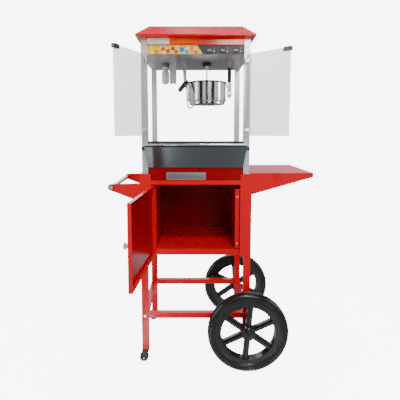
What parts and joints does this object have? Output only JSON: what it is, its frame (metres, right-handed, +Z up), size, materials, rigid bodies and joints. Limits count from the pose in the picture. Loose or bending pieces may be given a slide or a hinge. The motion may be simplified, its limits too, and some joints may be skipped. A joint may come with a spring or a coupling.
{
  "type": "popcorn cart",
  "caption": "Wheeled sheet-metal cart with cabinet, side shelf and push bar, carrying a glazed popping machine with tilting kettle and hipped canopy.",
  "frame": {"origin": "on the floor, under the middle of the whole cart's footprint as it stands with its doors open", "axes": "+Z up, +X to the right seen from the serving side, -Y towards the serving side"},
  "size_m": [0.9075, 0.8736, 1.523],
  "materials": {
    "red_steel": "gloss powder coat",
    "stainless": "satin stainless sheet",
    "polished_steel": "polished stainless",
    "post_aluminium": "clear anodised",
    "zinc": "bright zinc plate",
    "black_plastic": "moulded",
    "tyre_rubber": "semi-gloss rubber",
    "rim_plastic": "moulded",
    "clear_glass": "clear tempered",
    "door_glass": "greyish tempered",
    "band_acrylic": "translucent red acrylic",
    "panel_print": "printed film on steel",
    "bulb_glass": "frosted",
    "motor_grey": "satin"
  },
  "bodies": {
    "root": {"frame_legs": "red_steel", "lower_rails": "red_steel", "leg_plugs": "black_plastic", "wheel_axle": "zinc", "cabinet_shell": "red_steel", "cabinet_floor": "red_steel", "cabinet_deck": "red_steel", "side_liners": "red_steel", "cabinet_hinges": "zinc", "side_shelf": "red_steel", "handle_brackets": "red_steel", "push_bar": "polished_steel", "cart_bolts": "zinc", "corner_posts": "post_aluminium", "machine_base": "red_steel", "base_rails": "stainless", "popping_floor": "stainless", "serving_trough": "stainless", "trough_knobs": "black_plastic", "door_sill": "black_plastic", "chamber_panes": "clear_glass", "top_housing": "stainless", "control_panel": "panel_print", "light_band": "band_acrylic", "switch_bezels": "black_plastic", "roof_canopy": "red_steel", "drive_motor": "motor_grey", "left_hanger": "stainless", "right_hanger": "stainless", "hanger_sleeve": "black_plastic", "lamp_guard": "stainless", "lamp_bulb": "bulb_glass", "glass_hinges": "zinc"},
    "cabinet_door": {"cabinet_door": "red_steel", "door_pull": "zinc"},
    "left_glass_door": {"left_glass": "door_glass", "left_clips": "black_plastic"},
    "right_glass_door": {"right_glass": "door_glass", "right_clips": "black_plastic"},
    "drawer": {"crumb_drawer": "stainless"},
    "kettle": {"kettle_pot": "polished_steel", "kettle_base": "stainless", "kettle_yoke": "polished_steel", "handle_rod": "polished_steel", "handle_grip": "black_plastic"},
    "front_lid": {"front_lid": "polished_steel"},
    "rear_lid": {"rear_lid": "polished_steel"},
    "stirrer": {"stirrer": "polished_steel"},
    "coupling": {"drive_coupling": "black_plastic"},
    "left_rocker": {"left_rocker": "black_plastic"},
    "middle_rocker": {"middle_rocker": "black_plastic"},
    "right_rocker": {"right_rocker": "black_plastic"},
    "front_wheel": {"front_tyre": "tyre_rubber", "front_rim": "rim_plastic"},
    "rear_wheel": {"rear_tyre": "tyre_rubber", "rear_rim": "rim_plastic"},
    "front_caster": {"front_caster_fork": "black_plastic"},
    "rear_caster": {"rear_caster_fork": "black_plastic"},
    "front_caster_wheel": {"front_caster_wheel": "black_plastic"},
    "rear_caster_wheel": {"rear_caster_wheel": "black_plastic"}
  },
  "joints": [
    {"name": "cabinet_door_swing", "type": "hinge", "parent": "root", "child": "cabinet_door", "pos_m": [-0.26175, -0.04616, 0.671], "axis": [0, 0, 1], "range_deg": [-25, 95]},
    {"name": "left_glass_swing", "type": "hinge", "parent": "root", "child": "left_glass_door", "pos_m": [-0.27875, -0.04866, 1.216], "axis": [0, 0, 1], "range_deg": [-20, 117]},
    {"name": "right_glass_swing", "type": "hinge", "parent": "root", "child": "right_glass_door", "pos_m": [0.14925, -0.04866, 1.216], "axis": [0, 0, 1], "range_deg": [-138, 5]},
    {"name": "drawer_slide", "type": "slide", "parent": "root", "child": "drawer", "axis": [0, -1, 0], "range_m": [0, 0.2]},
    {"name": "kettle_tilt", "type": "hinge", "parent": "root", "child": "kettle", "pos_m": [-0.01075, 0.14933, 1.28], "axis": [1, 0, 0], "range_deg": [0, 95]},
    {"name": "front_lid_flap", "type": "hinge", "parent": "kettle", "child": "front_lid", "pos_m": [-0.01075, 0.14033, 1.2975], "axis": [-1, 0, 0], "range_deg": [0, 60]},
    {"name": "rear_lid_flap", "type": "hinge", "parent": "kettle", "child": "rear_lid", "pos_m": [-0.01075, 0.15834, 1.2975], "axis": [1, 0, 0], "range_deg": [0, 60]},
    {"name": "drive_spin", "type": "hinge", "parent": "root", "child": "coupling", "pos_m": [-0.01075, 0.14933, 1.385], "axis": [0, 0, 1], "continuous": true},
    {"name": "stirrer_spin", "type": "hinge", "parent": "kettle", "child": "stirrer", "pos_m": [-0.01075, 0.14933, 1.356], "axis": [0, 0, 1], "continuous": true},
    {"name": "left_rocker_tilt", "type": "hinge", "parent": "root", "child": "left_rocker", "pos_m": [-0.00575, -0.03667, 1.4105], "axis": [1, 0, 0], "range_deg": [0, 16]},
    {"name": "middle_rocker_tilt", "type": "hinge", "parent": "root", "child": "middle_rocker", "pos_m": [0.05125, -0.03667, 1.4105], "axis": [1, 0, 0], "range_deg": [0, 16]},
    {"name": "right_rocker_tilt", "type": "hinge", "parent": "root", "child": "right_rocker", "pos_m": [0.10775, -0.03667, 1.4105], "axis": [1, 0, 0], "range_deg": [0, 16]},
    {"name": "front_wheel_spin", "type": "hinge", "parent": "root", "child": "front_wheel", "pos_m": [0.16625, -0.09066, 0.1785], "axis": [0, 1, 0], "continuous": true},
    {"name": "rear_wheel_spin", "type": "hinge", "parent": "root", "child": "rear_wheel", "pos_m": [0.16625, 0.40233, 0.1785], "axis": [0, 1, 0], "continuous": true},
    {"name": "front_caster_swivel", "type": "hinge", "parent": "root", "child": "front_caster", "pos_m": [-0.29575, -0.02567, 0.062], "axis": [0, 0, 1], "continuous": true},
    {"name": "rear_caster_swivel", "type": "hinge", "parent": "root", "child": "rear_caster", "pos_m": [-0.29575, 0.33733, 0.062], "axis": [0, 0, 1], "continuous": true},
    {"name": "front_caster_roll", "type": "hinge", "parent": "front_caster", "child": "front_caster_wheel", "pos_m": [-0.30375, -0.02567, 0.02], "axis": [0, 1, 0], "continuous": true},
    {"name": "rear_caster_roll", "type": "hinge", "parent": "rear_caster", "child": "rear_caster_wheel", "pos_m": [-0.30375, 0.33733, 0.02], "axis": [0, 1, 0], "continuous": true}
  ],
  "couplings": [
    {"joint": "stirrer_spin", "follows": "drive_spin", "ratio": 1}
  ]
}
